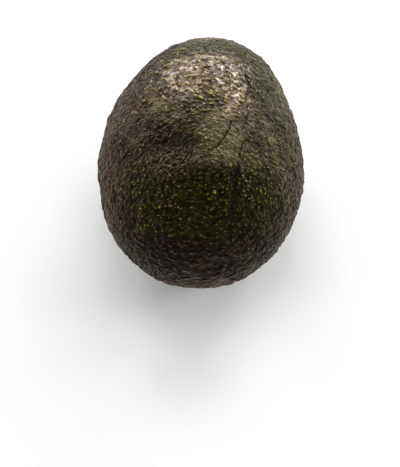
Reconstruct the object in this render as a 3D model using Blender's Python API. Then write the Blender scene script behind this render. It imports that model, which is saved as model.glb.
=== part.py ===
"""A Hass avocado lying on its side, with the woody button of its stem still in place.

Metres, +Z up. The fruit lies along Y, with its broad blossom end towards -Y and its narrow stem end
towards +Y. It rests at Z = 0 on a small flat spot under its centre of mass, and the origin is on that
surface, under the middle of the whole. The fruit is first drawn upright in its own frame, where Y runs
from the blossom end to the stem end, and is then dipped about X, because a fruit that is heavier at one
end settles with its narrow end lower.
"""

import math

import bmesh
import bpy
from mathutils import Matrix, Vector

# The fruit, along its own axis.
LENGTH = 0.093
RADIUS = 0.034  # at the middle of the length
TAPER = -0.12  # how much narrower it is at the stem end than at the middle, as a share
FULLNESS = 0.12  # how much fuller both ends are than an ellipsoid's, as a share
LEAN = 0.005  # how far the neck leans towards +X at the stem end
LEAN_POWER = 4  # the lean grows with this power of the way along, so only the neck leans
SPHERE_LEVEL = 5  # subdivisions of the icosphere that the fruit is drawn from

# Broad lumps and hollows: the station along the fruit (-1 blossom end, 1 stem end), the angle about its
# axis from the top towards +X in degrees, how narrow it is, and how far it stands out.
LUMPS = (
    (-0.60, 90, 16, -0.0008),  # the flatter lower side of the right cheek
    (-0.12, 90, 14, 0.0011),  # the right cheek
    (0.42, 90, 16, -0.0013),  # the hollow where the neck begins
    (0.75, -90, 16, -0.0005),  # the left side of the neck
    (-0.20, 186, 12, 0.0006),  # a fuller patch underneath
    (-0.55, -120, 12, -0.0006),  # a flatter patch low on the left
)

# How it lies.
DIP = math.radians(6.0)  # the stem end hangs this much lower
REST_SINK = 0.00045  # how much of the round underside the flat spot takes away

# The stem: a round button of wood in a shallow pit.
PIT_DEPTH = 0.0018
PIT_FLOOR_RADIUS = 0.0043
PIT_RIM_RADIUS = 0.0066
PIT_CUT_ABOVE = 0.0030  # how far the cutter reaches past the skin
SEAT_GAP = 0.0003
BUTTON_OUTLINE = (  # radius and height, from the foot to the middle of the scar on top
    (0.0029, 0.0000),
    (0.0027, 0.0010),
    (0.0029, 0.0018),
    (0.0035, 0.0024),
    (0.0037, 0.0029),
    (0.0034, 0.0033),
    (0.0022, 0.0032),
)
BUTTON_SCAR_HEIGHT = 0.0029
TURNED_SIDES = 32

SKIN_COLOR = (0.045, 0.038, 0.022, 1.0)
WOOD_COLOR = (0.20, 0.12, 0.055, 1.0)


def clear_objects():
    for thing in list(bpy.data.objects):
        bpy.data.objects.remove(thing, do_unlink=True)


def material(name, color, roughness):
    made = bpy.data.materials.new(name)
    made.use_nodes = True
    shader = made.node_tree.nodes["Principled BSDF"]
    shader.inputs["Base Color"].default_value = color
    shader.inputs["Roughness"].default_value = roughness
    shader.inputs["Metallic"].default_value = 0.0
    return made


def mesh_object(name, bm, finish):
    """A new smooth-shaded object from a bmesh, which is used up."""
    bmesh.ops.recalc_face_normals(bm, faces=bm.faces)
    mesh = bpy.data.meshes.new(name)
    bm.to_mesh(mesh)
    bm.free()
    mesh.materials.append(finish)
    mesh.shade_smooth()
    mesh.set_sharp_from_angle(angle=math.radians(40))
    thing = bpy.data.objects.new(name, mesh)
    bpy.context.scene.collection.objects.link(thing)
    return thing


def lump_direction(station, degrees):
    """The unit direction from the fruit's middle that a station and an angle about its axis name."""
    across = math.sqrt(1.0 - station * station)
    turn = math.radians(degrees)
    return Vector((across * math.sin(turn), station, across * math.cos(turn)))


def fruit_point(out):
    """Where a direction from the middle, a point of the unit sphere, lies on the fruit's skin."""
    station = out.y
    girth = RADIUS * (1.0 + TAPER * station + FULLNESS * station * station)
    lean = LEAN * ((1.0 + station) / 2.0) ** LEAN_POWER
    point = Vector((girth * out.x + lean, LENGTH / 2.0 * station, girth * out.z))
    for along, degrees, narrowness, height in LUMPS:
        nearness = out.dot(lump_direction(along, degrees)) - 1.0
        point += out * (height * math.exp(narrowness * nearness))
    return point


def cut_flat_spot(bm):
    """Sets the lowest point REST_SINK under Z = 0 and takes off what is below, leaving a flat face."""
    lowest = min(vert.co.z for vert in bm.verts)
    bmesh.ops.translate(bm, verts=bm.verts, vec=(0.0, 0.0, -lowest - REST_SINK))
    whole = bm.verts[:] + bm.edges[:] + bm.faces[:]
    bmesh.ops.bisect_plane(
        bm, geom=whole, plane_co=(0.0, 0.0, 0.0), plane_no=(0.0, 0.0, -1.0), clear_outer=True
    )
    rim = [edge for edge in bm.edges if edge.is_boundary]
    bmesh.ops.contextual_create(bm, geom=rim)
    return Vector((0.0, 0.0, -lowest - REST_SINK))


def fruit_body(finish):
    """The fruit without its pit, dipped and resting, and where its stem end came to be."""
    bm = bmesh.new()
    bmesh.ops.create_icosphere(bm, subdivisions=SPHERE_LEVEL, radius=1.0)
    for vert in bm.verts:
        vert.co = fruit_point(vert.co.normalized())
    dip = Matrix.Rotation(-DIP, 3, "X")
    bmesh.ops.rotate(bm, verts=bm.verts, cent=(0.0, 0.0, 0.0), matrix=dip)
    moved = cut_flat_spot(bm)
    stem_end = dip @ fruit_point(Vector((0.0, 1.0, 0.0))) + moved
    return mesh_object("fruit", bm, finish), stem_end


def turned(name, outline, top, finish):
    """A closed solid of revolution about +Z: a foot, the outline's rings, and a middle point on top."""
    bm = bmesh.new()
    rings = []
    for radius, height in outline:
        ring = []
        for side in range(TURNED_SIDES):
            turn = 2.0 * math.pi * side / TURNED_SIDES
            ring.append(bm.verts.new((radius * math.cos(turn), radius * math.sin(turn), height)))
        rings.append(ring)
    for lower, upper in zip(rings, rings[1:]):
        for side in range(TURNED_SIDES):
            after = (side + 1) % TURNED_SIDES
            bm.faces.new((lower[side], lower[after], upper[after], upper[side]))
    bm.faces.new(list(reversed(rings[0])))
    middle = bm.verts.new((0.0, 0.0, top))
    for side in range(TURNED_SIDES):
        bm.faces.new((rings[-1][side], rings[-1][(side + 1) % TURNED_SIDES], middle))
    return mesh_object(name, bm, finish)


def stand_on_stem_end(thing, stem_end, height):
    """Points the object's +Z along the fruit's axis, with its foot this far out from the stem end."""
    axis = Vector((0.0, math.cos(DIP), -math.sin(DIP)))
    thing.rotation_euler = axis.to_track_quat("Z", "X").to_euler()
    thing.location = stem_end + axis * height


def cut_pit(fruit, stem_end, finish):
    reach = PIT_DEPTH + PIT_CUT_ABOVE
    flare = (PIT_RIM_RADIUS - PIT_FLOOR_RADIUS) * reach / PIT_DEPTH
    outline = ((PIT_FLOOR_RADIUS, 0.0), (PIT_FLOOR_RADIUS + flare, reach))
    cutter = turned("pit_cutter", outline, reach, finish)
    stand_on_stem_end(cutter, stem_end, -PIT_DEPTH)
    cutter.hide_render = True
    cutter.display_type = "WIRE"
    cut = fruit.modifiers.new("stem_pit", "BOOLEAN")
    cut.operation = "DIFFERENCE"
    cut.solver = "EXACT"
    cut.object = cutter
    return cutter


def centre_over_origin(pieces, followers):
    """Moves everything level, so that the middle of the pieces' whole box is over the origin."""
    bpy.context.view_layer.update()
    points = [piece.matrix_world @ vert.co for piece in pieces for vert in piece.data.vertices]
    for level_axis in (0, 1):
        low = min(point[level_axis] for point in points)
        high = max(point[level_axis] for point in points)
        for thing in pieces + followers:
            thing.location[level_axis] -= (low + high) / 2.0


clear_objects()
skin = material("avocado_skin", SKIN_COLOR, 0.45)
wood = material("stem_wood", WOOD_COLOR, 0.85)
fruit, stem_end = fruit_body(skin)
button = turned("stem_button", BUTTON_OUTLINE, BUTTON_SCAR_HEIGHT, wood)
stand_on_stem_end(button, stem_end, SEAT_GAP - PIT_DEPTH)
pit_cutter = cut_pit(fruit, stem_end, skin)
centre_over_origin([fruit, button], [pit_cutter])
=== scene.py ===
"""The looks of a Hass avocado lying on its side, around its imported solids.

The skin is one fine mesh, drawn onto the fruit's solid and pressed into warts, pebbles, wrinkles, dents
and creases. Its material reads the same cells as the mesh, so the pale dots sit on the warts' tips.
Metres, +Z up; the fruit lies along Y with its stem end towards +Y.
"""

import math

import bmesh
import bpy
import numpy as np
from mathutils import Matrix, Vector, noise
from mathutils.bvhtree import BVHTree


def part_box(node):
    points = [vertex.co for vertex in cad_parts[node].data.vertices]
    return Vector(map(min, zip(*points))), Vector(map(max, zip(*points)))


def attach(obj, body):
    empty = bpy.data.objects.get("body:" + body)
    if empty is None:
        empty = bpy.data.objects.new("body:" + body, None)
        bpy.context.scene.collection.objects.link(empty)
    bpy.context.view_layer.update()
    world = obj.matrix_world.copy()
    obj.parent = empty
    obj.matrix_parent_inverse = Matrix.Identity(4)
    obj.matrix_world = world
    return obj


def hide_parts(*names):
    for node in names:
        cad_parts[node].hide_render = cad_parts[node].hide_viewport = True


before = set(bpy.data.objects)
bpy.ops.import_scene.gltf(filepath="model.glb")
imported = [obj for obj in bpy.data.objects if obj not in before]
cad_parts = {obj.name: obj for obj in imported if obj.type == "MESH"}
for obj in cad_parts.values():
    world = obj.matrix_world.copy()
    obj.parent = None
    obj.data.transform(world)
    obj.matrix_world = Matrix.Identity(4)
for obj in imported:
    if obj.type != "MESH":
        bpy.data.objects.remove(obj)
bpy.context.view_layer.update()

MM = 0.001
FAR = 1.0  # a metre, farther than any two points of the fruit
NOISE_GAIN = 1.6  # brings Blender's noise to a range of about -1 to 1
FRUIT_LOW, FRUIT_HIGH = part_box("fruit")
MIDDLE = (FRUIT_LOW + FRUIT_HIGH) / 2
HALF = np.array((FRUIT_HIGH - FRUIT_LOW) / 2)

# The camera and what it sees.
CAMERA_ELEVATION = math.radians(56)
CAMERA_DISTANCE = 0.9
PICTURE_WIDTH = 0.1338  # how much the picture's width spans at the fruit
PICTURE_TALLER = 1.1675  # the picture's height over its width
AIM_BELOW = 0.0256  # how far below the fruit's middle the camera aims
AIM_LEFT = 0.0005  # and how far to its left

# The light. The camera sees a white world, and the fruit a dimmer one.
FLOOR_SIZE = 2.2  # no grey horizon shows in low views from the front and sides, but from behind one does
FLOOR_COLOR = (0.86, 0.865, 0.86, 1)
WORLD_LOW, WORLD_HIGH = 1.0, 0.33  # its strength at the horizon, and from 30 degrees up
LIGHT_DISTANCE = 2.2
LIGHTS = (  # name, azimuth, elevation, width and height in degrees, and radiance
    ("window_left", -15, 15, 18, 18, 5.4),
    ("window_right", 18, 13, 28, 16, 8.8),
    ("low_left", -62, 12, 22, 14, 6.5),
    ("low_right", 66, 16, 20, 14, 7.5),
    ("upper_left", -28, 36, 22, 16, 3.2),
    ("upper_right", 36, 32, 22, 13, 5.0),
    ("high", 8, 60, 22, 14, 1.3),
    ("left", -98, 18, 18, 16, 5.2),
    ("right", 96, 30, 16, 16, 4.2),
    ("front_left", -150, 34, 16, 16, 0.2),
    ("front_right", 150, 34, 16, 16, 2.0),
    ("ceiling", 0, 86, 20, 18, 1.6),
)

# The skin's mesh.
GRID = 128  # cells along each edge of the cube that it is drawn from
FINER_TOWARDS = np.array((0.0, -0.12, 0.18))  # its points crowd towards this side, up and forward
RELAX_ROUNDS = 80  # rounds of smoothing, which take off the solid's facets
SKIN_LEVEL = -0.23 * MM  # how far the skin's mean surface stands out from the smoothed solid

# The cells, each with one wart. They lie in a grid that noise bends.
CELL = 1.3 * MM
RING_POWER = 0.35  # how strongly the cells stretch round the fruit's axis towards its ends
SQUEEZE_FRONT, SQUEEZE_BACK = 1.2, 0.82  # how many times wider than long they are, at either end
WARP, WARP_SIZE = 0.55 * MM, 3.5 * MM  # how far noise moves them, and the size of the noise's lumps
COARSE_SHARE = 0.70  # their number along a line in the coarse middle, as a share of that elsewhere
COARSE_FROM, COARSE_TO = 8 * MM, 26 * MM  # how far from its middle their size changes
COARSE_FULL, COARSE_END = 15 * MM, 25 * MM  # how far from its middle the coarse look reaches
BARE_SHARE = 0.10  # how many of the coarse skin's cells have no wart

# The skin's relief.
WART_RADIUS = 0.60 * MM
WART_HEIGHT = 0.16 * MM
PEBBLE_HEIGHT = 0.26 * MM
LUMPS = ((15, 0.25, 1), (6, 0.14, 2))  # size and height in millimetres, and the noise's seed
SIDE_LUMPS = ((3.2, 0.20, 7), (1.6, 0.22, 8))  # more of them on the flanks, neck and underside
SIDE_LUMPS_SCALE = (1, 0.6, 1)  # makes these longer along the fruit than round it
KNOB_SIZE, KNOB_HEIGHT = 2.6 * MM, 0.19 * MM
FOLD_SIZE, FOLD_HEIGHT = 1.9 * MM, 0.24 * MM

# Places on the skin: how far along the fruit, from -1 to 1, and the angle from the top towards +X.
DIMPLE = (0.04, 4)
COARSE_MIDDLE = (0.30, 1)
DENT = (-0.35, -13)
DENT_WRINKLES = (-0.45, -18)
NOTCH = (-0.50, 24)
RED_MARK = (-0.50, -3)
BLOSSOM_SCAR = (-0.995, 2)
HOLLOWS = (  # place, reach across and along, and depth, in millimetres; a depth below 0 stands out
    (DENT, 7, 5, 1.4),
    (BLOSSOM_SCAR, 1.2, 1.2, 0.3),
    (NOTCH, 1, 1, -0.35),
    ((0.87, 40), 12, 12, 0.6),
    ((0.91, -10), 10, 10, 0.4),
    ((0.62, -62), 10, 10, 0.5),
    ((-0.90, 180), 16, 16, 0.4),
)
SPOTS = {  # where the material colours the skin: place, and reach across and along in millimetres
    "dent": (DENT, 8, 6.5),
    "ringed": (DENT_WRINKLES, 11.5, 6.5),
    "scar": (BLOSSOM_SCAR, 1.1, 1.1),
    # Painted highlight: a pinkish-grey glint on the small knob by the notch.
    "notch_glint": (NOTCH, 0.9, 0.9),
    "red_mark": (RED_MARK, 1.3, 0.8),
}

# The dimple, with faint ripples round it.
DIMPLE_DEPTH, DIMPLE_REACH = 0.62 * MM, 5.0 * MM
RIPPLE_GAP, RIPPLE_HEIGHT = 1.9 * MM, 0.05 * MM
RIPPLES_START, RIPPLES_FULL = 4 * MM, 7 * MM  # how far from the dimple's middle they begin
RIPPLES_FADE, RIPPLES_END = 11 * MM, 18 * MM
RIPPLE_WARP, RIPPLE_WARP_SIZE = 0.5, 6 * MM  # how far noise moves them, in gaps, and its lumps' size

# The dent's wrinkles, two families of rings that cross.
RING_CENTRES = ((0, 2, 5), (-7, 5, 9))  # millimetres across and along from the dent, and noise seed
RING_GAP, RING_HEIGHT = 1.35 * MM, 0.13 * MM
RING_WARP, RING_WARP_SIZE = 0.75, 2.8 * MM  # how far noise moves them, in gaps, and its lumps' size
RING_SQUEEZE = 1.3  # how many times longer than wide the rings are

# The edge where the olive patch drops to the green belt. It is steep in front and gentle behind.
TERRACE = ((-0.47, -8), (-0.48, -2), (-0.50, 4), (-0.51, 11), (-0.52, 18))
TERRACE_HEIGHT = 0.95 * MM
TERRACE_FRONT, TERRACE_BACK = 2.2 * MM, 6.5 * MM  # how far it reaches on either side
TERRACE_ROUNDING = 0.4 * MM
TERRACE_CUT = 20 * MM  # nothing of it is left this far away

# The furrow runs down from the notch and fades; the creases are fine cracks.
FURROW = ((-0.50, 21.5), (-0.56, 20), (-0.65, 21), (-0.74, 23), (-0.83, 25), (-0.90, 29))
FURROW_DEPTH, FURROW_WIDTH = 0.8 * MM, 1.2 * MM
CREASE_DEPTH = 0.42 * MM
CREASES = (  # each is its points, and its width
    (((-0.14, 17), (-0.24, 15), (-0.31, 12.5), (-0.37, 8), (-0.41, 2.5)), 0.36 * MM),
    (((-0.25, 27), (-0.32, 23), (-0.39, 22), (-0.44, 20.5)), 0.26 * MM),
    (((0.36, 28), (0.22, 29.5), (0.10, 26.5), (-0.06, 27), (-0.20, 23)), 0.24 * MM),
    (((0.02, 43), (-0.02, 48), (-0.05, 52.5), (-0.10, 55)), 0.22 * MM),
)

# Where the skin's colours lie: place, reach across and along in millimetres, and the share there.
PATCH_NOISE_SIZE = 16 * MM
GREEN_PATCHES = (
    ((-0.62, 5), 15, 10, 1.0),
    ((-0.84, 5), 15, 6, 0.8),
    ((-0.55, 38), 9, 11, 0.95),
    ((-0.64, -32), 13, 10, 0.8),
    ((0.72, 10), 16, 9, 0.8),
    ((0.15, -30), 6, 9, 0.5),
    ((0.40, -48), 12, 14, 0.0),
    ((0.30, 50), 12, 18, 0.8),
    ((-0.15, 50), 9, 12, 0.6),
    ((-0.12, 12), 9, 8, 0.5),
    ((0.30, 175), 16, 20, 0.6),
    ((-0.30, -150), 12, 14, 0.45),
)
# Olive skin, partly its own colour and partly painted sheen: the overhead light's shine above the
# terrace, and the floor's reflection on the top rim.
OLIVE_AND_SHEEN_PATCHES = (
    ((-0.20, 12), 12, 8, 0.9),
    ((-0.40, 15), 12, 6, 0.9),
    ((-0.25, 42), 8, 9, 0.6),
    ((0.05, 4), 7, 6, 0.25),
    ((0.35, 60), 9, 16, 0.35),
    ((0.88, 5), 15, 6, 0.75),
)
# The waxy patches carry a shiny coat, and a pale beige colour that is also painted highlight round the
# dimple and painted reflection on the underside's rim.
WAXY_AND_HIGHLIGHT_PATCHES = (
    ((0.16, -12), 9, 12, 0.8),
    ((0.00, -26), 9, 9, 0.4),
    ((-0.05, -38), 9, 11, 0.2),
    ((0.40, 4), 11, 9, 0.75),
    ((0.08, 18), 7, 11, 0.8),
    ((-0.12, -5), 8, 6, 0.3),
    ((-0.95, 180), 18, 8, 0.35),
    ((0.04, 5), 5, 4.5, 0.1),
)
# Where the pale streaks are strongest besides the flanks: partly browner skin, and partly painted sheen,
# as on the underside's rim.
BROWN_AND_RIM_SHEEN_PATCHES = (
    ((0.02, -44), 12, 14, 0.9),
    ((-0.25, -50), 11, 13, 0.7),
    ((-0.93, 180), 20, 9, 1.0),
    ((-0.05, -24), 8, 7, 0.5),
)
DOTTED_PATCHES = (
    ((-0.64, 6), 18, 10, 1.0),
    ((-0.85, 5), 15, 6, 0.9),
    ((0.20, 4), 14, 16, 1.0),
    ((-0.28, 10), 13, 9, 1.0),
    ((-0.30, 30), 12, 12, 0.7),
    ((-0.55, -38), 15, 14, 1.0),
    ((-0.05, -38), 14, 18, 1.0),
    ((-0.35, 52), 10, 14, 0.85),
    ((0.75, 20), 14, 8, 0.5),
    ((-0.98, 0), 21, 14, 0.12),
)

# The skin's colours. Where there are two, they are mixed.
PURPLE_SKIN = (0.0085, 0.003, 0.0036), (0.022, 0.0085, 0.0085)
GREEN_SKIN = (0.013, 0.017, 0.0015), (0.034, 0.039, 0.004)
# Pale streaks, partly the skin's own and partly painted sheen: on the flanks, neck and underside they
# stand in for the grazing reflection that lightens the rims.
STREAKS_AND_RIM_SHEEN = (0.128, 0.080, 0.068), (0.115, 0.107, 0.060)  # on purple and on green skin
# Pale olive skin, also painted sheen.
OLIVE_SKIN_AND_SHEEN = (0.160, 0.145, 0.083)
# Pale beige waxy skin, also painted highlight where the back lights' shine falls.
WAXY_SKIN_AND_HIGHLIGHT = (0.20, 0.137, 0.088)
MOTTLED_SKIN = (0.020, 0.018, 0.008)
# Painted shade: the near-black that fills the pits between pebbles and the folds, where shade falls.
VALLEY_SHADE = (0.0015, 0.001, 0.0008)
DOT_SMALL, DOT_LARGE, DOT_BLUR = 0.21 * MM, 0.38 * MM, 0.08 * MM  # two radii, and how soft the edge is
RUSTY_DOTS = (0.26, 0.21, 0.08), (0.34, 0.15, 0.03)
LIME_DOTS = (0.16, 0.18, 0.03), (0.33, 0.34, 0.06)
ORANGE_DOTS = (0.40, 0.18, 0.035)
PALE_TIPS = (0.44, 0.40, 0.12)
DENT_GREY = (0.014, 0.010, 0.011)
DENT_RIDGES = (0.21, 0.15, 0.11)
MARKS = (  # the spot's name, how strongly it colours the skin, and its colour
    ("red_mark", 0.7, (0.09, 0.035, 0.02)),
    # Painted highlight: the glint on the notch's knob.
    ("notch_glint", 0.8, (0.13, 0.10, 0.095)),
    ("scar", 0.7, (0.10, 0.045, 0.022)),
)
FURROW_DARK = (0.010, 0.005, 0.006)
# Painted shade: the near-black inside the creases.
CREASE_SHADE = (0.001, 0.0008, 0.0006)

# The stem: its line leaves the fruit's stem end and dips.
STEM_DIP = math.radians(6)
STEM_LINE = np.array((0.0, math.cos(STEM_DIP), -math.sin(STEM_DIP)))
PIT_RADIUS = 5.4 * MM
# How much deeper the pit is than the smoothed solid's. The button doesn't follow it down, so the two
# meshes stand 0.76 mm apart at their nearest, hidden behind the pit's rim.
PIT_DEEPER = 0.8 * MM
PIT_FOLDS = 13  # how many folds run out from it
PIT_FOLD_HEIGHT, PIT_RIM_HEIGHT = 0.13 * MM, 0.30 * MM
BUTTON_RINGS = 56
BUTTON_SIDES = 96
BUTTON_SLIMMER = 0.93  # its mean radius, as a share of its solid's
WOOD = (0.060, 0.034, 0.018), (0.16, 0.105, 0.060)
WOOD_GRAIN = (0.035, 0.018, 0.010)
WOOD_NECK = (0.022, 0.013, 0.007)


def direction(along, degrees):
    """The unit direction, before it is stretched to the fruit's box, that a place on the skin names."""
    across = math.sqrt(1 - along * along)
    turn = math.radians(degrees)
    return np.array((across * math.sin(turn), along, across * math.cos(turn)))


def unit(vectors):
    return vectors / np.linalg.norm(vectors, axis=1)[:, None]


def smoothstep(low, high, value):
    share = np.clip((value - low) / (high - low), 0, 1)
    return share * share * (3 - 2 * share)


def bell(distance, reach):
    """1 at no distance, fading smoothly to 0 past this reach."""
    return np.exp(-((distance / reach) ** 2))


def linked_object(name, data):
    thing = bpy.data.objects.new(name, data)
    bpy.context.scene.collection.objects.link(thing)
    return thing


# ---------------------------------------------------------------- camera, floor and light


def make_camera():
    data = bpy.data.cameras.new("camera")
    camera = linked_object("camera", data)
    back = Vector((0, -math.cos(CAMERA_ELEVATION), math.sin(CAMERA_ELEVATION)))
    up = Vector((0, math.sin(CAMERA_ELEVATION), math.cos(CAMERA_ELEVATION)))
    left = Vector((-AIM_LEFT, 0, 0))
    camera.location = MIDDLE + back * CAMERA_DISTANCE + left
    aim = MIDDLE - up * AIM_BELOW + left
    camera.rotation_euler = (aim - camera.location).to_track_quat("-Z", "Y").to_euler()
    data.lens = data.sensor_width * CAMERA_DISTANCE / (PICTURE_WIDTH * PICTURE_TALLER)
    bpy.context.scene.camera = camera


def make_floor():
    bpy.ops.mesh.primitive_plane_add(size=FLOOR_SIZE)
    floor = bpy.context.object
    floor.name = "floor"
    paint = Paint("floor_white")
    paint.setting("Base Color", FLOOR_COLOR)
    paint.setting("Roughness", 0.9)
    paint.setting("Specular IOR Level", 0.1)
    floor.data.materials.append(paint.material)


def area_light(name, azimuth, elevation, wide, high, radiance):
    """A rectangular light facing the fruit; azimuth 0 is behind it, at +Y, and 90 to its right."""
    around, rise = math.radians(azimuth), math.radians(elevation)
    level = math.cos(rise)
    out = Vector((math.sin(around) * level, math.cos(around) * level, math.sin(rise)))
    data = bpy.data.lights.new(name, "AREA")
    data.shape = "RECTANGLE"
    data.size = 2 * LIGHT_DISTANCE * math.tan(math.radians(wide / 2))
    data.size_y = 2 * LIGHT_DISTANCE * math.tan(math.radians(high / 2))
    data.energy = radiance * math.pi * data.size * data.size_y
    light = linked_object(name, data)
    light.location = MIDDLE + out * LIGHT_DISTANCE
    light.rotation_euler = (-out).to_track_quat("-Z", "Y").to_euler()
    light.visible_camera = False


def make_world():
    """White to the camera; to everything else it is dim, and brighter at the horizon."""
    world = bpy.data.worlds.new("studio")
    bpy.context.scene.world = world
    world.use_nodes = True
    nodes = Nodes(world.node_tree)
    world.node_tree.nodes.clear()
    height = nodes.add("SeparateXYZ", {0: nodes.add("TexCoord", {}, "Generated")}, "Z")
    fade = {"Value": height, "From Max": 0.5, "To Min": WORLD_LOW, "To Max": WORLD_HIGH}
    dim = nodes.add("Background", {"Color": (1, 1, 1, 1), "Strength": nodes.add("MapRange", fade)})
    seen = nodes.add("Background", {"Color": (1, 1, 1, 1)})
    shown = nodes.add("MixShader", {0: nodes.add("LightPath", {}, "Is Camera Ray"), 1: dim, 2: seen})
    nodes.end("OutputWorld", {"Surface": shown})


# ---------------------------------------------------------------- nodes


class Nodes:
    """Makes nodes in a tree by calls that return an output socket."""

    def __init__(self, tree):
        self.tree = tree

    def plug(self, socket, value):
        if isinstance(value, bpy.types.NodeSocket):
            self.tree.links.new(value, socket)
        else:
            socket.default_value = value

    def end(self, kind, inputs, **settings):
        """A new node with these settings and inputs, each of which is a socket or a plain value."""
        node = self.tree.nodes.new("ShaderNode" + kind)
        for name, value in settings.items():
            setattr(node, name, value)
        for name, value in inputs.items():
            self.plug(node.inputs[name], value)
        return node

    def add(self, kind, inputs, output=0, **settings):
        return self.end(kind, inputs, **settings).outputs[output]


class Paint(Nodes):
    """A material's nodes, and short calls for the kinds that the paints below use."""

    def __init__(self, name):
        self.material = bpy.data.materials.new(name)
        self.material.use_nodes = True
        super().__init__(self.material.node_tree)
        self.shader = self.tree.nodes["Principled BSDF"]

    def setting(self, name, value):
        self.plug(self.shader.inputs[name], value)

    def kept(self, name, output="Fac"):
        """What the mesh keeps at each point under this name."""
        return self.add("Attribute", {}, output, attribute_name=name)

    def object_place(self):
        return self.add("TexCoord", {}, "Object")

    def math(self, operation, a, b=0.0):
        return self.add("Math", {0: a, 1: b}, operation=operation)

    def times(self, first, *others):
        for other in others:
            first = self.math("MULTIPLY", first, other)
        return first

    def ramp(self, value, low, high, at_low=0.0, at_high=1.0):
        """The value's smooth way from low to high, as a number from at_low to at_high."""
        inputs = {"Value": value, "From Min": low, "From Max": high, "To Min": at_low, "To Max": at_high}
        return self.add("MapRange", inputs, interpolation_type="SMOOTHSTEP")

    def mix(self, share, a, b):
        """Colour a, or b where the share is 1."""
        a, b = (color if isinstance(color, bpy.types.NodeSocket) else (*color, 1) for color in (a, b))
        return self.add("Mix", {0: share, 6: a, 7: b}, 2, data_type="RGBA")

    def noise(self, where, size, detail=2.0, roughness=0.5):
        inputs = {"Vector": where, "Scale": 1 / size, "Detail": detail, "Roughness": roughness}
        return self.add("TexNoise", inputs)

    def bump(self, under, height, distance):
        """The normal under it, tilted by a height that reaches this far."""
        inputs = {"Height": height, "Distance": distance}
        if under is not None:
            inputs["Normal"] = under
        return self.add("Bump", inputs)


# ---------------------------------------------------------------- reading and writing meshes


def cube_mesh(name):
    """A cube's surface cut into GRID by GRID cells a side, as a mesh that reaches from -1 to 1."""
    bm = bmesh.new()
    bmesh.ops.create_cube(bm, size=2)
    bmesh.ops.subdivide_edges(bm, edges=bm.edges[:], cuts=GRID - 1, use_grid_fill=True)
    mesh = bpy.data.meshes.new(name)
    bm.to_mesh(mesh)
    bm.free()
    return mesh


def read_points(mesh, field="co"):
    values = np.empty(len(mesh.vertices) * 3, np.float32)
    mesh.vertices.foreach_get(field, values)
    return values.reshape(-1, 3).astype(float)


def write_points(mesh, points):
    mesh.vertices.foreach_set("co", points.astype(np.float32).ravel())
    mesh.update()


def read_edges(mesh):
    pairs = np.empty(len(mesh.edges) * 2, np.int32)
    mesh.edges.foreach_get("vertices", pairs)
    return pairs.reshape(-1, 2)


def read_attribute(mesh, name, width):
    values = np.empty(len(mesh.vertices) * width, np.float32)
    mesh.attributes[name].data.foreach_get("value" if width == 1 else "vector", values)
    return values.reshape(-1, width).astype(float)


def write_attribute(mesh, name, values):
    """Stores a value or a vector for each point."""
    vector = values.ndim == 2
    made = mesh.attributes.new(name, "FLOAT_VECTOR" if vector else "FLOAT", "POINT")
    made.data.foreach_set("vector" if vector else "value", values.astype(np.float32).ravel())


def on_solid(directions):
    """Where lines from the fruit's middle, stretched to its box, leave its solid."""
    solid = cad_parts["fruit"].data
    corners = [vert.co for vert in solid.vertices]
    tree = BVHTree.FromPolygons(corners, [list(face.vertices) for face in solid.polygons])
    found = np.empty_like(directions)
    for i, way in enumerate(directions * HALF):
        found[i] = tree.ray_cast(MIDDLE, Vector(way))[0]
    return found


def relaxed(points, edges, rounds):
    """The points, each moved halfway to the mean of its neighbours in each round."""
    first, second = edges.T
    total = len(points)
    neighbours = np.bincount(edges.ravel(), minlength=total)
    for _ in range(rounds):
        for axis in range(3):
            values = points[:, axis]
            summed = np.bincount(first, values[second], total)
            summed += np.bincount(second, values[first], total)
            points[:, axis] += (summed / neighbours - values) / 2
    return points


def noise_field(points, size, seed):
    """Smooth noise from about -1 to 1, whose lumps are about this size."""
    shift = Vector((seed * 3.1, seed * 7.7, seed * 5.3))
    scaled = points / size
    return np.array([noise.noise(Vector(point) + shift) for point in scaled]) * NOISE_GAIN


# ---------------------------------------------------------------- places and lines on the skin


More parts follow.
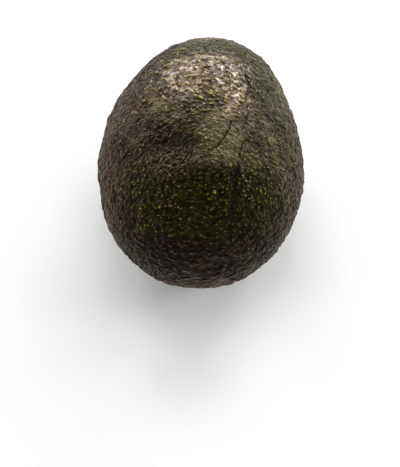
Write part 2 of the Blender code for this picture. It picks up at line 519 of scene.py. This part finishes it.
class Skin:
    """The smooth skin's points, normals and directions, and what it keeps for the material by name."""

    def __init__(self, directions, points, normals):
        self.directions, self.points, self.normals = directions, points, normals
        self.from_middle = points - np.array(MIDDLE)
        self.kept = {}

    def nearest(self, place):
        return int(np.argmax(self.directions @ direction(*place)))

    def local(self, place):
        """Each point's way across and along the skin from a place, and its distance."""
        i = self.nearest(place)
        up = self.normals[i]
        across = np.array((1.0, 0, 0)) - up * up[0]
        across /= np.linalg.norm(across)
        along = np.cross(up, across)
        offset = self.points - self.points[i]
        return offset @ across, offset @ along, np.linalg.norm(offset, axis=1)

    def spot(self, place, across, along):
        """1 at a place, fading to 0 past this many millimetres across and along the skin."""
        x, y, far = self.local(place)
        same_side = far < 4 * MM * max(across, along)
        return bell(x, across * MM) * bell(y, along * MM) * same_side

    def line(self, places):
        """Each point's signed distance from a line through places, and its share of the way along."""
        knots = self.points[[self.nearest(place) for place in places]]
        ups = self.normals[[self.nearest(place) for place in places]]
        nearest = np.full(len(self.points), FAR)
        signed = np.full(len(self.points), FAR)
        share = np.zeros(len(self.points))
        for k in range(len(knots) - 1):
            step = knots[k + 1] - knots[k]
            offset = self.points - knots[k]
            t = np.clip(offset @ step / (step @ step), 0, 1)
            gap = offset - t[:, None] * step
            far = np.linalg.norm(gap, axis=1)
            side = np.sign(gap @ np.cross(step, ups[k]))
            nearer = far < nearest
            nearest[nearer] = far[nearer]
            signed[nearer] = (far * side)[nearer]
            share[nearer] = (k + t[nearer]) / (len(knots) - 1)
        return signed, share

    def keep_line(self, name, places):
        signed, share = self.line(places)
        self.kept[name] = signed
        self.kept[name + "_share"] = share
        return signed, share

    def patches(self, places, least, uneven, seed):
        """A share from 0 to 1: each place's own there, and elsewhere the least one, made uneven."""
        share = np.clip(least + uneven * noise_field(self.points, PATCH_NOISE_SIZE, seed), 0, 1)
        for place, across, along, full in places:
            share = share + (full - share) * self.spot(place, across, along)
        return np.clip(share, 0, 1)


def end_fade(share, length=0.15):
    """1 along a line and 0 at its two ends."""
    return smoothstep(0, length, share) * smoothstep(0, length, 1 - share)


# ---------------------------------------------------------------- the skin's cells


def cell_scale(skin):
    """How many times smaller than CELL the cells are, which is less than 1 on the coarse skin."""
    far = skin.local(COARSE_MIDDLE)[2]
    return COARSE_SHARE + (1 - COARSE_SHARE) * smoothstep(COARSE_FROM, COARSE_TO, far)


def cell_places(skin):
    """Where each point is in the cells' own space."""
    girth = np.hypot(skin.from_middle[:, 0], skin.from_middle[:, 2]) / HALF[0]
    squeeze = np.where(skin.from_middle[:, 1] < 0, SQUEEZE_FRONT, SQUEEZE_BACK)
    places = skin.from_middle * np.stack((girth**RING_POWER, squeeze, girth**RING_POWER), 1)
    centre = places[skin.nearest(COARSE_MIDDLE)]
    places = centre + (places - centre) * skin.kept["cell_scale"][:, None]
    warp = np.stack([noise_field(skin.points, WARP_SIZE, seed) for seed in (11, 12, 13)], 1)
    return places + warp * WARP


def cell_sampler(size):
    """Geometry nodes that store how far each point is from its cell's middle, and its cell's chances."""
    group = bpy.data.node_groups.new("skin_cells", "GeometryNodeTree")
    for way in ("INPUT", "OUTPUT"):
        group.interface.new_socket("Geometry", in_out=way, socket_type="NodeSocketGeometry")
    start = group.nodes.new("NodeGroupInput")
    end = group.nodes.new("NodeGroupOutput")
    where = group.nodes.new("GeometryNodeInputNamedAttribute")
    where.data_type = "FLOAT_VECTOR"
    where.inputs["Name"].default_value = "cell_at"
    cells = group.nodes.new("ShaderNodeTexVoronoi")
    cells.inputs["Scale"].default_value = 1 / size
    group.links.new(where.outputs[0], cells.inputs["Vector"])
    made = start.outputs[0]
    stored = (("cell_far", "FLOAT", "Distance"), ("cell_chance", "FLOAT_VECTOR", "Color"))
    for name, kind, output in stored:
        keep = group.nodes.new("GeometryNodeStoreNamedAttribute")
        keep.data_type = kind
        keep.inputs["Name"].default_value = name
        group.links.new(made, keep.inputs["Geometry"])
        group.links.new(cells.outputs[output], keep.inputs["Value"])
        made = keep.outputs["Geometry"]
    group.links.new(made, end.inputs[0])
    return group


def sampled_cells(thing, size):
    """Each point's distance from its cell's middle, in cell sizes, and its cell's three chances."""
    modifier = thing.modifiers.new("cells", "NODES")
    modifier.node_group = cell_sampler(size)
    ready = thing.evaluated_get(bpy.context.evaluated_depsgraph_get()).data
    far = read_attribute(ready, "cell_far", 1)[:, 0]
    chances = read_attribute(ready, "cell_chance", 3)
    thing.modifiers.remove(modifier)
    return far, chances


def coarseness(skin):
    """1 where large warts stand on smooth skin, round the dimple, and 0 where pebbles crowd."""
    return smoothstep(COARSE_END, COARSE_FULL, skin.local(COARSE_MIDDLE)[2])


def sides(skin):
    """1 on the fruit's flanks, neck and underside, where the pebbles are broad and low, and 0 on top."""
    x, y, z = (skin.from_middle / HALF).T
    flanks_and_neck = np.maximum(smoothstep(0.62, 0.88, np.abs(x)), smoothstep(0.60, 0.85, y))
    return np.maximum(flanks_and_neck, smoothstep(0.35, 0.65, -z))


# ---------------------------------------------------------------- the skin's relief

# Each function below gives how far the skin stands out at each point, in metres.


def warts(skin, cell_far, chances):
    """A round wart in the middle of each cell; those on the coarse skin are larger, and some missing."""
    coarse = skin.kept["coarse"]
    radius = WART_RADIUS * (0.8 + 0.5 * chances[:, 0]) * (1 + 0.8 * coarse)
    height = WART_HEIGHT * (0.4 + 0.8 * chances[:, 1]) * (0.5 + 2.5 * coarse)
    height *= smoothstep(-0.05, 0.05, chances[:, 1] - BARE_SHARE * coarse)
    height *= 1 - 0.4 * skin.kept["sides"]
    away = cell_far * CELL / skin.kept["cell_scale"]
    return height * np.clip(1 - (away / radius) ** 2, 0, 1) ** 2


def pebbles(skin, cell_far, chances):
    """The skin sinks towards each cell's edge, which leaves a pebble in the middle."""
    depth = PEBBLE_HEIGHT * (1 - 0.95 * skin.kept["coarse"]) * (1 - 0.3 * skin.kept["sides"])
    return -depth * (0.6 + 0.8 * chances[:, 2]) * np.clip(cell_far / 0.75, 0, 1) ** 2


def lumps(skin):
    """Lumps of every size, and a net of fine folds between them."""
    relief = np.zeros(len(skin.points))
    for size, height, seed in LUMPS:
        relief += height * MM * noise_field(skin.points, size * MM, seed)
    for size, height, seed in SIDE_LUMPS:
        lump = noise_field(skin.points * SIDE_LUMPS_SCALE, size * MM, seed)
        relief += height * MM * skin.kept["sides"] * lump
    coarse = skin.kept["coarse"]
    relief += KNOB_HEIGHT * (1 - 0.5 * coarse) * noise_field(skin.points, KNOB_SIZE, 3)
    fold = np.abs(noise_field(skin.points, FOLD_SIZE, 6))
    folded = (1 - 0.85 * coarse) * (1 - 0.5 * skin.kept["sides"])
    return relief + FOLD_HEIGHT * folded * (np.minimum(fold, 0.5) - 0.3)


def hollows(skin):
    """Broad hollows and one small knob, each at its own place."""
    relief = np.zeros(len(skin.points))
    for place, across, along, depth in HOLLOWS:
        relief -= depth * MM * skin.spot(place, across, along)
    return relief


def dimple(skin):
    """A round hollow with faint ripples round it."""
    far = skin.local(DIMPLE)[2]
    moved = RIPPLE_WARP * noise_field(skin.points, RIPPLE_WARP_SIZE, 4)
    ripples = np.sin(2 * math.pi * (far / RIPPLE_GAP + moved))
    rippled = smoothstep(RIPPLES_START, RIPPLES_FULL, far) * smoothstep(RIPPLES_END, RIPPLES_FADE, far)
    return RIPPLE_HEIGHT * ripples * rippled - DIMPLE_DEPTH * bell(far, DIMPLE_REACH)


def dent_wrinkles(skin):
    """Rings round each centre; where two families cross, the higher one shows."""
    x, y, _ = skin.local(DENT)
    waves = np.full(len(skin.points), -1.0)
    for i, (across, along, seed) in enumerate(RING_CENTRES):
        rings = np.hypot(RING_SQUEEZE * (x - across * MM), y - along * MM) / RING_GAP
        rings += RING_WARP * noise_field(skin.points, RING_WARP_SIZE, seed)
        skin.kept[f"rings{i}"] = rings
        waves = np.maximum(waves, np.sin(2 * math.pi * rings))
    return RING_HEIGHT * waves * skin.kept["ringed"]


def terrace(skin):
    """The olive patch's edge, highest along its line."""
    signed, share = skin.line(TERRACE)
    skin.kept["behind_terrace"] = smoothstep(1.0 * MM, -0.4 * MM, signed)
    gentle = np.where(signed > 0, TERRACE_FRONT, TERRACE_BACK)
    away = np.hypot(signed, TERRACE_ROUNDING) - TERRACE_ROUNDING
    return TERRACE_HEIGHT * np.exp(-away / gentle) * end_fade(share, 0.25) * (away < TERRACE_CUT)


def furrow(skin):
    """A groove that gets shallower along its line."""
    signed, share = skin.keep_line("furrow", FURROW)
    shallower = (1 - share) ** 2 * smoothstep(-0.01, 0.03, share)
    return -FURROW_DEPTH * bell(signed, FURROW_WIDTH) * shallower


def creases(skin):
    """Fine cracks that close at both ends."""
    relief = np.zeros(len(skin.points))
    for i, (places, width) in enumerate(CREASES):
        signed, share = skin.keep_line(f"crease{i}", places)
        relief -= CREASE_DEPTH * np.exp(-np.abs(signed) / (1.8 * width)) * end_fade(share)
    return relief


def button_points():
    """The corners of the stem button's solid."""
    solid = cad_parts["stem_button"]
    return np.array([solid.matrix_world @ vert.co for vert in solid.data.vertices])


def stem_pucker(skin):
    """The stem's pit, with a swollen rim and folds that run out from it."""
    offset = skin.points - button_points().mean(axis=0)
    out = offset @ STEM_LINE
    round_line = offset - out[:, None] * STEM_LINE
    far = np.linalg.norm(round_line, axis=1)
    turn = np.arctan2(round_line[:, 2], round_line[:, 0])
    wavy = noise_field(skin.points, 4 * MM, 31)
    folds = np.sin(PIT_FOLDS * turn + 2.5 * wavy) * bell(far - PIT_RADIUS, 3.0 * MM)
    rim = bell(far - 1.3 * PIT_RADIUS, 1.7 * MM) * (1 + 0.6 * wavy)
    pit = smoothstep(1.15 * PIT_RADIUS, 0.65 * PIT_RADIUS, far)
    near = smoothstep(20 * MM, 12 * MM, -out)
    return near * (PIT_FOLD_HEIGHT * folds + PIT_RIM_HEIGHT * rim - PIT_DEEPER * pit)


# ---------------------------------------------------------------- the skin


def smooth_skin(mesh):
    """Shapes the cube's mesh as the fruit's solid without its facets, and returns its skin."""
    directions = np.tan(read_points(mesh) * math.pi / 4)
    directions = unit(unit(directions) + FINER_TOWARDS)
    base = relaxed(on_solid(directions), read_edges(mesh), RELAX_ROUNDS)
    write_points(mesh, base)
    normals = read_points(mesh, "normal")
    return Skin(directions, base + normals * SKIN_LEVEL, normals)


def keep_for_material(skin):
    """What both the relief and the material need to know of each point."""
    skin.kept["coarse"] = coarseness(skin)
    skin.kept["sides"] = sides(skin)
    skin.kept["green"] = skin.patches(GREEN_PATCHES, 0.06, 0.2, 21)
    skin.kept["dots"] = skin.patches(DOTTED_PATCHES, 0.55, 0.2, 22)
    skin.kept["olive"] = skin.patches(OLIVE_AND_SHEEN_PATCHES, 0.05, 0.1, 23)
    skin.kept["brown"] = skin.patches(BROWN_AND_RIM_SHEEN_PATCHES, 0.0, 0.1, 25)
    skin.kept["waxy"] = skin.patches(WAXY_AND_HIGHLIGHT_PATCHES, 0.0, 0.1, 24)
    for name, (place, across, along) in SPOTS.items():
        skin.kept[name] = skin.spot(place, across, along)


def build_skin():
    """The skin's mesh, pressed into its relief, with what its material needs kept at each point."""
    mesh = cube_mesh("avocado_skin")
    thing = linked_object("avocado_skin", mesh)
    skin = smooth_skin(mesh)
    skin.kept["cell_scale"] = cell_scale(skin)
    write_attribute(mesh, "cell_at", cell_places(skin))
    keep_for_material(skin)
    cells = sampled_cells(thing, CELL)
    relief = warts(skin, *cells) + pebbles(skin, *cells)
    for part in (lumps, hollows, dimple, dent_wrinkles, terrace, furrow, creases, stem_pucker):
        relief += part(skin)
    made = skin.points + skin.normals * relief[:, None]
    made[:, 2] -= made[:, 2].min()
    write_points(mesh, made)
    mesh.shade_smooth()
    for name, values in skin.kept.items():
        write_attribute(mesh, name, values)
    mesh.materials.append(skin_material())
    return thing


# ---------------------------------------------------------------- the stem button


def button_outline(share):
    """The button's radius and height, as shares of its own, this far along from foot to middle.

    Its neck has a slight waist and flares to the rim, and the scar on top lies lower than the rim.
    """
    neck = 0.74 - 0.05 * math.sin(math.pi * min(share / 0.35, 1))
    flare = float(smoothstep(0.30, 0.50, share)) * 0.24
    inward = max(0.0, (share - 0.60) / 0.40)
    radius = (neck + flare) * math.cos(inward * math.pi / 2) ** 0.75
    rise = float(smoothstep(0.0, 0.62, share)) ** 0.8
    return radius, rise - 0.16 * float(smoothstep(0.72, 0.92, share))


def button_point(turn, share, wide, tall):
    """A point of the button's uneven surface: it is not quite round, and its scar has cracks."""
    radius, rise = button_outline(share)
    ray = Vector((math.cos(turn), math.sin(turn), 0))
    lobes = noise.noise(ray * 1.4)
    nicks = noise.noise(ray * 5 + Vector((0, 0, share * 3)))
    uneven = 1 - 0.05 * (1 + lobes) - 0.03 * (1 + nicks)
    crack = max(0.0, noise.noise(ray * 3.4 + Vector((4, 0, 0))) - 0.05)
    crack *= float(smoothstep(0.66, 0.8, share))
    grain = noise.noise((ray * radius + Vector((0, 0, rise))) * 6)
    height = tall * (0.93 * rise - 0.28 * crack * min(1, 2 * radius))
    height += 0.10 * MM * grain * min(1, 3 * rise)
    return ray * (wide * radius * uneven) + Vector((0, 0, max(height, 0)))


def button_mesh(wide, tall):
    """A short woody plug with a rolled rim and a sunken, cracked scar, standing on its foot."""
    bm = bmesh.new()
    turns = [2 * math.pi * side / BUTTON_SIDES for side in range(BUTTON_SIDES)]
    rings = []
    for ring in range(BUTTON_RINGS):
        share = ring / BUTTON_RINGS
        rings.append([bm.verts.new(button_point(turn, share, wide, tall)) for turn in turns])
    for lower, upper in zip(rings, rings[1:]):
        for side in range(BUTTON_SIDES):
            after = (side + 1) % BUTTON_SIDES
            bm.faces.new((lower[side], lower[after], upper[after], upper[side]))
    bm.faces.new(rings[-1])
    bm.faces.new(list(reversed(rings[0])))
    mesh = bpy.data.meshes.new("avocado_stem_button")
    bm.to_mesh(mesh)
    bm.free()
    mesh.shade_smooth()
    return mesh


def build_button():
    """The button, standing where its solid does along the stem's line."""
    corners = button_points()
    heights = corners @ STEM_LINE
    foot = corners.mean(axis=0)
    foot += STEM_LINE * (heights.min() - foot @ STEM_LINE)
    offset = corners - foot
    around = np.linalg.norm(offset - np.outer(offset @ STEM_LINE, STEM_LINE), axis=1)
    mesh = button_mesh(around.max() * BUTTON_SLIMMER, heights.max() - heights.min())
    mesh.materials.append(wood_material())
    thing = linked_object("avocado_stem_button", mesh)
    thing.location = foot
    thing.rotation_euler = Vector(STEM_LINE).to_track_quat("Z", "X").to_euler()
    return thing


# ---------------------------------------------------------------- materials


class SkinPaint(Paint):
    """The skin's material, with the patterns that its colour, gloss and bumps share."""

    def __init__(self, name):
        super().__init__(name)
        self.place = self.object_place()
        self.coarse = self.kept("coarse")
        self.sides = self.kept("sides")
        self.blotch = self.noise(self.place, 6 * MM, 3)
        # The brown patches with the flanks, neck and underside, whose pale streaks are partly painted
        # rim sheen.
        self.brown = self.math("MAXIMUM", self.sides, self.uneven("brown", 0.2))
        # Waxy skin: a shiny coat, and a pale colour that is partly painted highlight.
        self.waxy = self.ramp(self.uneven("waxy", 0.2), 0.05, 1.0)
        # The olive patches behind the terrace, which are partly painted sheen.
        olive = self.ramp(self.uneven("olive", 0.2), 0.05, 1.0)
        self.olive = self.times(olive, self.kept("behind_terrace"))
        self.fine = self.noise(self.place, 1.3 * MM)
        stretched = self.add("VectorMath", {0: self.place, 1: (1, 0.75, 1)}, operation="MULTIPLY")
        self.streak = self.noise(stretched, 1.1 * MM, 3, 0.6)
        mottle = self.ramp(self.noise(self.place, 2.2 * MM, 3), 0.50, 0.58)
        self.mottle = self.times(mottle, self.coarse)
        self.rings = self.read_rings()
        self.read_cells()
        self.read_valleys()
        self.crack = self.read_cracks()

    def read_rings(self):
        """The dent's wrinkles, from -1 between them to 1 on top."""
        rings = -1.0
        for i in range(len(RING_CENTRES)):
            wave = self.math("SINE", self.times(self.kept(f"rings{i}"), 2 * math.pi))
            rings = self.math("MAXIMUM", wave, rings)
        return rings

    def read_cells(self):
        """The cells' chances, how far the nearest wart's middle is, and whether it is there at all."""
        at = {"Vector": self.kept("cell_at", "Vector"), "Scale": 1 / CELL}
        self.cell_far = self.add("TexVoronoi", at, "Distance")
        chances = self.end("SeparateColor", {0: self.add("TexVoronoi", at, "Color")}).outputs
        self.size_chance, self.bright_chance, self.hue_chance = chances[0], chances[1], chances[2]
        self.far = self.math("DIVIDE", self.times(self.cell_far, CELL), self.kept("cell_scale"))
        bare = self.times(self.coarse, BARE_SHARE)
        self.present = self.ramp(self.math("SUBTRACT", self.bright_chance, bare), -0.05, 0.05)

    def read_valleys(self):
        """How deep the pits between pebbles are, how far the nearest fold is, and both as valleys."""
        net = self.noise(self.kept("cell_at", "Vector"), 2.0 * MM, 2, 0.6)
        from_fold = self.math("ABSOLUTE", self.math("SUBTRACT", net, 0.5))
        self.from_fold = self.math("ADD", from_fold, self.ramp(self.coarse, 0, 0.9, 0, 0.10))
        crowded = self.times(self.ramp(self.coarse, 0, 1, 1, 0.1), self.ramp(self.sides, 0, 1, 1, 0.9))
        self.pit = self.times(self.cell_far, self.cell_far, crowded)
        in_pit = self.ramp(self.pit, 0.18, 0.55)
        in_fold = self.ramp(self.from_fold, 0.0, 0.075, 0.95, 0)
        self.valley = self.math("MAXIMUM", in_pit, in_fold)

    def read_cracks(self):
        """1 inside the creases and 0 outside them."""
        shake = self.ramp(self.noise(self.place, 1.8 * MM), 0.3, 0.7, -0.2 * MM, 0.2 * MM)
        crack = 0.0
        for i, (_, width) in enumerate(CREASES):
            off = self.math("ABSOLUTE", self.math("ADD", self.kept(f"crease{i}"), shake))
            from_half = self.math("ABSOLUTE", self.math("SUBTRACT", self.kept(f"crease{i}_share"), 0.5))
            inside = self.ramp(off, 0.25 * width, width, 1, 0)
            inside = self.times(inside, self.ramp(from_half, 0.35, 0.5, 1, 0))
            crack = self.math("MAXIMUM", inside, crack)
        return crack

    def uneven(self, name, amount):
        """A kept share, whose edges the blotches move by this much."""
        return self.math("ADD", self.kept(name), self.ramp(self.blotch, 0.3, 0.7, -amount, amount))


def base_color(p):
    """How green the skin is, and its colour: pale streaks that are partly painted rim sheen, olive and
    waxy patches that are partly painted sheen and highlight, and painted shade in the valleys.
    """
    green = p.math("ADD", p.uneven("green", 0.22), p.ramp(p.fine, 0.3, 0.7, -0.12, 0.12))
    green = p.ramp(green, 0.15, 0.75)
    fine = p.ramp(p.fine, 0.3, 0.7)
    purple_skin = p.mix(fine, *PURPLE_SKIN)
    green_skin = p.mix(fine, *GREEN_SKIN)
    color = p.mix(green, purple_skin, green_skin)
    # Partly painted sheen: the pale streaks are strongest where the rims catch grazing reflection.
    streaks = p.times(p.ramp(p.streak, 0.36, 0.62), p.ramp(p.brown, 0.1, 1.0, 0, 0.75))
    color = p.mix(streaks, color, p.mix(green, *STREAKS_AND_RIM_SHEEN))
    # Partly painted sheen: the pale olive behind the terrace.
    color = p.mix(p.olive, color, OLIVE_SKIN_AND_SHEEN)
    # Partly painted highlight: the waxy patches' pale beige.
    color = p.mix(p.waxy, color, WAXY_SKIN_AND_HIGHLIGHT)
    color = p.mix(p.times(p.mottle, 0.75), color, MOTTLED_SKIN)
    smooth = p.math("MAXIMUM", p.coarse, p.olive)
    # Painted shade in the valleys, lighter on the smooth coarse and olive skin.
    depth = p.times(p.valley, p.ramp(smooth, 0, 1, 0.85, 0.45))
    return green, p.mix(depth, color, VALLEY_SHADE)


def dotted(p, color, green):
    """Each wart's tip has a pale dot: yellow-green or orange on green skin, and rusty on purple."""
    radius = p.ramp(p.size_chance, 0, 1, DOT_SMALL, DOT_LARGE)
    radius = p.times(radius, p.ramp(p.coarse, 0, 1, 1, 1.45))
    dot = p.ramp(p.math("SUBTRACT", radius, p.far), -DOT_BLUR, DOT_BLUR)
    halo = p.ramp(p.far, 0.2 * MM, 0.65 * MM, 0.2, 0)
    in_dent = p.ramp(p.kept("dent"), 0.2, 0.8, 1, 0.15)
    bright = p.ramp(p.bright_chance, 0.0, 0.6, 0.3, 1.0)
    covered = p.times(p.math("MAXIMUM", dot, halo), bright, p.kept("dots"), p.present, in_dent)
    rust = p.mix(p.ramp(p.hue_chance, 0.70, 1.0), *RUSTY_DOTS)
    lime = p.mix(p.ramp(p.hue_chance, 0.2, 0.7), *LIME_DOTS)
    orange = p.times(p.ramp(p.hue_chance, 0.72, 0.90), p.ramp(p.coarse, 0, 0.3, 0.8, 0))
    lime = p.mix(orange, lime, ORANGE_DOTS)
    lime = p.mix(p.times(p.coarse, 0.7), lime, PALE_TIPS)
    return p.mix(covered, color, p.mix(p.math("MAXIMUM", green, p.coarse), rust, lime))


def marked(p, color):
    """The dent is grey with pale ridges, the marks are coloured, with a painted glint on the notch's
    knob, the furrow is dark, and the creases hold painted shade, almost black.
    """
    dent = p.ramp(p.uneven("dent", 0.15), 0.35, 0.8, 0, 0.85)
    color = p.mix(dent, color, DENT_GREY)
    for name, strength, mark in MARKS:
        color = p.mix(p.times(p.kept(name), strength), color, mark)
    ridged = p.ramp(p.kept("ringed"), 0.2, 0.8, 0, 0.8)
    ridges = p.times(p.ramp(p.rings, 0.6, 0.95), ridged, p.ramp(p.fine, 0.38, 0.60, 0.2, 1))
    color = p.mix(ridges, color, DENT_RIDGES)
    furrow = p.ramp(p.math("ABSOLUTE", p.kept("furrow")), 0.4 * MM, 1.5 * MM, 1, 0)
    furrow = p.times(furrow, p.ramp(p.kept("furrow_share"), 0.55, 1.0, 0.9, 0))
    color = p.mix(furrow, color, FURROW_DARK)
    return p.mix(p.crack, color, CREASE_SHADE)


def skin_gloss(p):
    """Valleys and flanks are duller, waxy skin has a shiny coat, and all of it has a warm bloom."""
    dull = p.math("MAXIMUM", p.valley, p.times(p.brown, 0.7))
    p.setting("Roughness", p.ramp(dull, 0, 1, 0.22, 0.4))
    p.setting("IOR", 1.33)
    p.setting("Specular IOR Level", 0.5)
    p.setting("Specular Tint", (1.0, 0.76, 0.54, 1))
    p.setting("Coat Weight", p.times(p.waxy, p.ramp(p.mottle, 0, 1, 0.8, 0.15)))
    p.setting("Coat Roughness", 0.16)
    p.setting("Coat IOR", 1.5)
    p.setting("Sheen Weight", 0.40)
    p.setting("Sheen Roughness", 0.15)
    p.setting("Sheen Tint", (1.0, 0.92, 0.76, 1))


def skin_bumps(p):
    """The warts, pits, folds and streaks again, finer than the mesh can hold them."""
    wart = p.ramp(p.far, 0.1 * MM, p.ramp(p.coarse, 0, 1, 0.62 * MM, 1.0 * MM), 1, 0)
    folds = p.times(p.ramp(p.from_fold, 0.0, 0.14), p.ramp(p.sides, 0, 1, 1, 1.6))
    crumple = p.times(p.noise(p.place, 2.2 * MM, 1), p.math("MAXIMUM", p.coarse, p.olive))
    grain = p.times(p.noise(p.place, 0.6 * MM, 3, 0.6), p.ramp(p.coarse, 0, 1, 1, 0.6))
    heights = (  # each pattern, and how high it stands in millimetres
        (p.times(wart, p.present), 0.32),
        (p.pit, -0.26),
        (folds, 0.16),
        (p.times(p.rings, p.kept("ringed")), 0.10),
        (p.times(p.streak, p.sides), 0.70),
        (crumple, 0.35),
        (p.mottle, -0.20),
        (grain, 0.04),
        (p.crack, -0.25),
    )
    normal = None
    for pattern, height in heights:
        normal = p.bump(normal, pattern, height * MM)
    return normal


def skin_material():
    p = SkinPaint("avocado_skin")
    green, color = base_color(p)
    p.setting("Base Color", marked(p, dotted(p, color, green)))
    normal = skin_bumps(p)
    p.setting("Normal", normal)
    p.setting("Coat Normal", normal)
    skin_gloss(p)
    return p.material


def wood_material():
    """Dry brown wood: blotched and grained, and darker on the neck."""
    p = Paint("avocado_stem_wood")
    place = p.object_place()
    height = p.add("SeparateXYZ", {0: place}, "Z")
    blotch = p.noise(place, 1.2 * MM, 3, 0.6)
    grain = p.noise(place, 0.35 * MM, 3, 0.65)
    color = p.mix(p.ramp(blotch, 0.3, 0.7), *WOOD)
    color = p.mix(p.ramp(grain, 0.35, 0.7, 0, 0.7), color, WOOD_GRAIN)
    color = p.mix(p.ramp(height, 0.8 * MM, 2.4 * MM, 0.7, 0), color, WOOD_NECK)
    p.setting("Base Color", color)
    p.setting("Roughness", 0.8)
    p.setting("Specular IOR Level", 0.25)
    p.setting("Normal", p.bump(p.bump(None, blotch, 0.15 * MM), grain, 0.12 * MM))
    return p.material


def place_piece(thing, node):
    """Hangs a piece under the root body and hides the CAD node that it stands in for."""
    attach(thing, "root")
    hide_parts(node)


make_camera()
make_floor()
for values in LIGHTS:
    area_light(*values)
make_world()
bpy.context.scene.view_settings.view_transform = "Standard"
bpy.context.scene.view_settings.look = "High Contrast"
place_piece(build_skin(), "fruit")
place_piece(build_button(), "stem_button")
